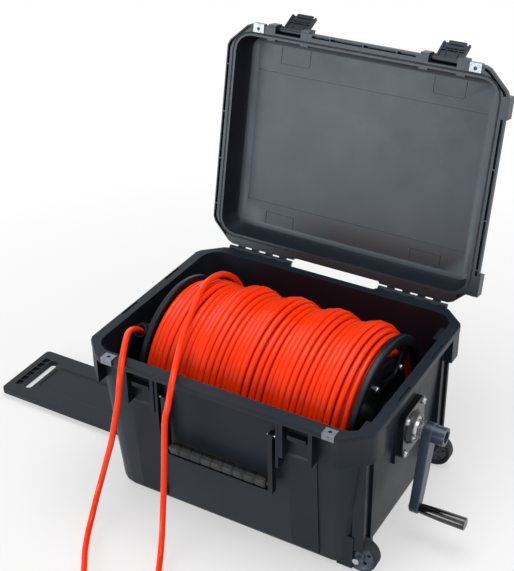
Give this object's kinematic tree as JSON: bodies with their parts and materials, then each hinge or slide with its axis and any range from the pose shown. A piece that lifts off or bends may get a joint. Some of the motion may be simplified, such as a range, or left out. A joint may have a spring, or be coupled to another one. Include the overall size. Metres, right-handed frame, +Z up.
{
  "type": "cable reel",
  "caption": "Cable reel built into a wheeled moulded case: hinged lid with latches, crank-turned drum of orange cable, pull-out tow handle.",
  "frame": {"origin": "on the ground under the middle of the case, on the underside of its channel cover", "axes": "+X along the front of the case to the crank end, +Y from the front to the hinges, +Z up"},
  "size_m": [1.173, 1.1362, 0.8744],
  "materials": {
    "case": "fine moulded texture, black",
    "moving_nylon": "satin black",
    "seal": "matt",
    "grip_rubber": "matt, turned grooves",
    "steel": "stainless",
    "cast_housing": "black painted casting",
    "crank_iron": "blue-grey painted",
    "grip_phenolic": "gloss black",
    "drum_plastic": "satin black",
    "cable_jacket": "semi-gloss orange-red jacket",
    "wheel_nylon": "grey-blue nylon",
    "tyre": "matt",
    "connector_rubber": "matt black"
  },
  "bodies": {
    "case": {"base_shell": "case", "tow_cover": "case", "hinge_pin_left": "steel", "hinge_pin_right": "steel", "hasp_base_left": "steel", "hasp_base_right": "steel", "handle_pin_left": "steel", "handle_pin_right": "steel", "axle_front": "steel", "axle_back": "steel", "bearing_left_housing": "cast_housing", "bearing_left_insert": "steel", "bearing_right_housing": "cast_housing", "bearing_right_insert": "steel", "cable_guide": "drum_plastic", "tail_left": "cable_jacket", "tail_right": "cable_jacket", "connector_left": "connector_rubber", "connector_right": "connector_rubber", "bolt_left_front_top": "steel", "bolt_left_front_bottom": "steel", "bolt_left_back_top": "steel", "bolt_left_back_bottom": "steel", "bolt_right_front_top": "steel", "bolt_right_front_bottom": "steel", "bolt_right_back_top": "steel", "bolt_right_back_bottom": "steel"},
    "lid": {"lid_shell": "case", "lid_seal": "seal", "hasp_lid_left": "steel", "hasp_lid_right": "steel", "latch_pin_left": "steel", "latch_pin_right": "steel"},
    "latch_left_lever": {"latch_left": "moving_nylon"},
    "latch_right_lever": {"latch_right": "moving_nylon"},
    "latch_left_release": {"latch_trigger_left": "moving_nylon"},
    "latch_right_release": {"latch_trigger_right": "moving_nylon"},
    "carry_handle": {"front_handle": "moving_nylon", "front_grip": "grip_rubber"},
    "pull_handle": {"tow_handle": "case"},
    "front_wheel": {"wheel_front": "wheel_nylon", "tyre_front": "tyre"},
    "back_wheel": {"wheel_back": "wheel_nylon", "tyre_back": "tyre"},
    "drum": {"drum_shaft": "steel", "drum_flange_left": "drum_plastic", "drum_flange_right": "drum_plastic", "drum_barrel": "drum_plastic", "cable_inner_layers": "cable_jacket", "wound_cable": "cable_jacket", "tie_bolt_1": "steel", "tie_bolt_2": "steel", "tie_bolt_3": "steel", "tie_bolt_4": "steel", "shaft_collar": "steel", "crank_arm": "crank_iron", "crank_spindle": "steel"},
    "crank_knob": {"crank_grip": "grip_phenolic"}
  },
  "joints": [
    {"name": "lid_hinge", "type": "hinge", "parent": "case", "child": "lid", "pos_m": [0, 0.2615, 0.362], "axis": [1, 0, 0], "range_deg": [0, 99]},
    {"name": "drum_turn", "type": "hinge", "parent": "case", "child": "drum", "pos_m": [0, 0, 0.235], "axis": [1, 0, 0], "continuous": true},
    {"name": "crank_grip_turn", "type": "hinge", "parent": "drum", "child": "crank_knob", "pos_m": [0, -0.04934, 0.07755], "axis": [1, 0, 0], "continuous": true},
    {"name": "carry_handle_swing", "type": "hinge", "parent": "case", "child": "carry_handle", "pos_m": [0, -0.2395, 0.306], "axis": [-1, 0, 0], "range_deg": [0, 18]},
    {"name": "pull_handle_slide", "type": "slide", "parent": "case", "child": "pull_handle", "axis": [1, 0, 0], "range_m": [0, 0.42]},
    {"name": "front_wheel_turn", "type": "hinge", "parent": "case", "child": "front_wheel", "pos_m": [0.296, -0.188, 0.0405], "axis": [0, 1, 0], "continuous": true},
    {"name": "back_wheel_turn", "type": "hinge", "parent": "case", "child": "back_wheel", "pos_m": [0.296, 0.188, 0.0405], "axis": [0, 1, 0], "continuous": true},
    {"name": "latch_left_swing", "type": "hinge", "parent": "lid", "child": "latch_left_lever", "pos_m": [-0.178, 0.38846, 0.8559], "axis": [1, 0, 0], "range_deg": [0, 115]},
    {"name": "latch_left_trigger", "type": "hinge", "parent": "latch_left_lever", "child": "latch_left_release", "pos_m": [-0.178, 0.43563, 0.86528], "axis": [-1, 0, 0], "range_deg": [0, 20], "stiffness_Nm_per_rad": 0.05},
    {"name": "latch_right_swing", "type": "hinge", "parent": "lid", "child": "latch_right_lever", "pos_m": [0.178, 0.38846, 0.8559], "axis": [1, 0, 0], "range_deg": [0, 140]},
    {"name": "latch_right_trigger", "type": "hinge", "parent": "latch_right_lever", "child": "latch_right_release", "pos_m": [0.178, 0.43563, 0.86528], "axis": [-1, 0, 0], "range_deg": [0, 20], "stiffness_Nm_per_rad": 0.05}
  ]
}
